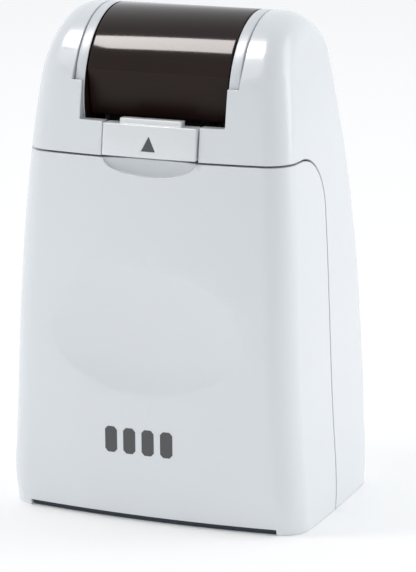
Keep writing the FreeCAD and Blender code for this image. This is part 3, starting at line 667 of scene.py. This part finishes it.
# %% Printed mark
MARK_LEFT, MARK_LOW, MARK_TALL, BAR_WIDE, BAR_STEP, INK = -6.3, 10.5, 3.9, 1.9, 2.9, 0.03
BAR_COUNT, BAR_CORNER, BAR_ROWS, BAR_COLUMNS, INK_THICK, BAR_MERGE = 4, 0.45, 8, 5, 0.05, 0.01
front = nodes["front_cover"].data
front_skin = BVHTree.FromPolygons([v.co for v in front.vertices], [face.vertices for face in front.polygons])
AHEAD, INWARDS = -0.05, Vector((0, 1, 0))


def on_front(x, z, lift):
    """The point on the front of the case at this x and z, lifted off it."""
    spot = front_skin.ray_cast(Vector((x * MM, AHEAD, z * MM)), INWARDS)[0]
    return spot.x, spot.y - lift * MM, spot.z


mesh = bmesh.new()
for bar in range(BAR_COUNT):
    grid = []
    for row in range(BAR_ROWS + 1):
        share = row / BAR_ROWS
        from_end = min(share, 1 - share) * MARK_TALL
        round_off = max(BAR_CORNER - from_end, 0)
        pulled = BAR_CORNER - math.sqrt(BAR_CORNER ** 2 - round_off ** 2)
        left, wide = MARK_LEFT + bar * BAR_STEP + pulled, BAR_WIDE - 2 * pulled
        level = MARK_LOW + MARK_TALL * share
        grid.append([mesh.verts.new(on_front(left + wide * k / BAR_COLUMNS, level, INK))
                     for k in range(BAR_COLUMNS + 1)])
    for low_row, high_row in zip(grid, grid[1:]):
        for k in range(BAR_COLUMNS):
            mesh.faces.new((low_row[k], low_row[k + 1], high_row[k + 1], high_row[k]))
bmesh.ops.remove_doubles(mesh, verts=mesh.verts, dist=BAR_MERGE * MM)
data = bpy.data.meshes.new("printed_bars")
mesh.to_mesh(data)
mesh.free()
bars = added("printed_bars", data, grey_mark)
ink = bars.modifiers.new("ink", "SOLIDIFY")
ink.thickness, ink.offset = INK_THICK * MM, -1
bars = smoothed(applied(bars))
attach(bars, "case")
print("printed bars:", len(bars.data.polygons), "faces")

# %% [markdown]
# ## Studio
# A small white product stands on a wide pale floor under large soft lights. Broad light from all round keeps
# the case bright with gentle steps between its faces. One long softbox overhead is what the dark drum mirrors
# as a bright band, another at the left shapes the front without a mirror image, and a third at the right
# lifts the side of the case. The world is dimmer in front than behind, which keeps the front off white.

# %% Floor
FLOOR_GLOW = 0.16
pale = Finish("pale_floor", Emission_Color=shade(1, 1, 1), Emission_Strength=FLOOR_GLOW)
paper = pale.noise(0.6, 4.0)
pale.drive("Base Color", pale.mixed(paper, shade(0.90, 0.90, 0.90), shade(0.94, 0.94, 0.94)))
pale.drive("Roughness", 0.8 + paper * 0.1)
FLOOR_NEAR, FLOOR_FAR, FLOOR_SIDE, UNDER_BASE = -3.0, 9.0, 5.0, -0.00005
corners = [(-FLOOR_SIDE, FLOOR_NEAR), (FLOOR_SIDE, FLOOR_NEAR), (FLOOR_SIDE, FLOOR_FAR),
           (-FLOOR_SIDE, FLOOR_FAR)]
mesh = bpy.data.meshes.new("floor")
mesh.from_pydata([(x, y, UNDER_BASE) for x, y in corners], [], [(0, 1, 2, 3)])
mesh.update()
floor = added("floor", mesh, pale.material)
print("floor is", 2 * FLOOR_SIDE, "by", FLOOR_FAR - FLOOR_NEAR, "metres")

# %% Lights
def softbox(name, spot, aimed, wide, tall, radiance, colour=(1.0, 1.0, 1.0)):
    """A rectangular light of a given brightness per area, so that its reflection keeps its value."""
    light = bpy.data.lights.new(name, "AREA")
    light.shape, light.size, light.size_y = "RECTANGLE", wide, tall
    light.energy = radiance * math.pi * wide * tall
    light.color = colour
    lamp = bpy.data.objects.new(name, light)
    bpy.context.scene.collection.objects.link(lamp)
    lamp.location = spot
    lamp.rotation_euler = (Vector(aimed) - Vector(spot)).to_track_quat("-Z", "Y").to_euler()
    return lamp


head_spot = Vector((0, PIVOT_Y * MM, PIVOT_Z * MM))


def seen_from(turn_degrees, rise_degrees, distance):
    """A place round the head, by compass turn from straight ahead and height above the floor."""
    t, r = math.radians(turn_degrees), math.radians(rise_degrees)
    return head_spot + distance * Vector((math.sin(t) * math.cos(r), -math.cos(t) * math.cos(r), math.sin(r)))


STRIP_OFFSET, STRIP_TILT, STRIP_WARMTH = Vector((-0.17, -0.155, 0.42)), -20, (1.0, 0.94, 0.93)
STRIP_RADIANCE, KEY_RADIANCE, EDGE_RADIANCE, LAMP_AWAY = 23.0, 3.4, 1.9, 0.7
strip = softbox("strip_overhead", head_spot + STRIP_OFFSET, head_spot, wide=0.30, tall=0.20,
                radiance=STRIP_RADIANCE, colour=STRIP_WARMTH)
strip.rotation_euler = (math.radians(STRIP_TILT), 0, 0)
strip.visible_diffuse = False
key = softbox("key_left", seen_from(-62, 34, LAMP_AWAY), head_spot, wide=0.22, tall=0.5,
              radiance=KEY_RADIANCE)
key.visible_glossy = False
softbox("edge_right", seen_from(116, 20, LAMP_AWAY), head_spot, wide=0.3, tall=0.6, radiance=EDGE_RADIANCE)
print("lights:", [light.name for light in bpy.data.lights])

# %% World
NEAR_SIDE, FAR_SIDE, DIM, BRIGHT = -0.35, 0.55, 0.56, 1.0
world = bpy.data.worlds.new("studio")
world.use_nodes = True
sky = world.node_tree
facing = sky.nodes.new("ShaderNodeTexCoord")
depth = sky.nodes.new("ShaderNodeSeparateXYZ")
tone = sky.nodes.new("ShaderNodeMapRange")
tone.inputs["From Min"].default_value, tone.inputs["From Max"].default_value = NEAR_SIDE, FAR_SIDE
tone.inputs["To Min"].default_value, tone.inputs["To Max"].default_value = DIM, BRIGHT
sky.links.new(facing.outputs["Generated"], depth.inputs[0])
sky.links.new(depth.outputs["Y"], tone.inputs["Value"])
sky.links.new(tone.outputs[0], sky.nodes["Background"].inputs["Strength"])
sky.nodes["Background"].inputs["Color"].default_value = shade(0.96, 0.98, 1.0)
bpy.context.scene.world = world
bpy.context.scene.view_settings.view_transform = "Standard"
print("world from", DIM, "in front to", BRIGHT, "behind")

# %% Size of the frame
print("size before", [round(c / MM, 2) for corner in cad_box for c in corner])
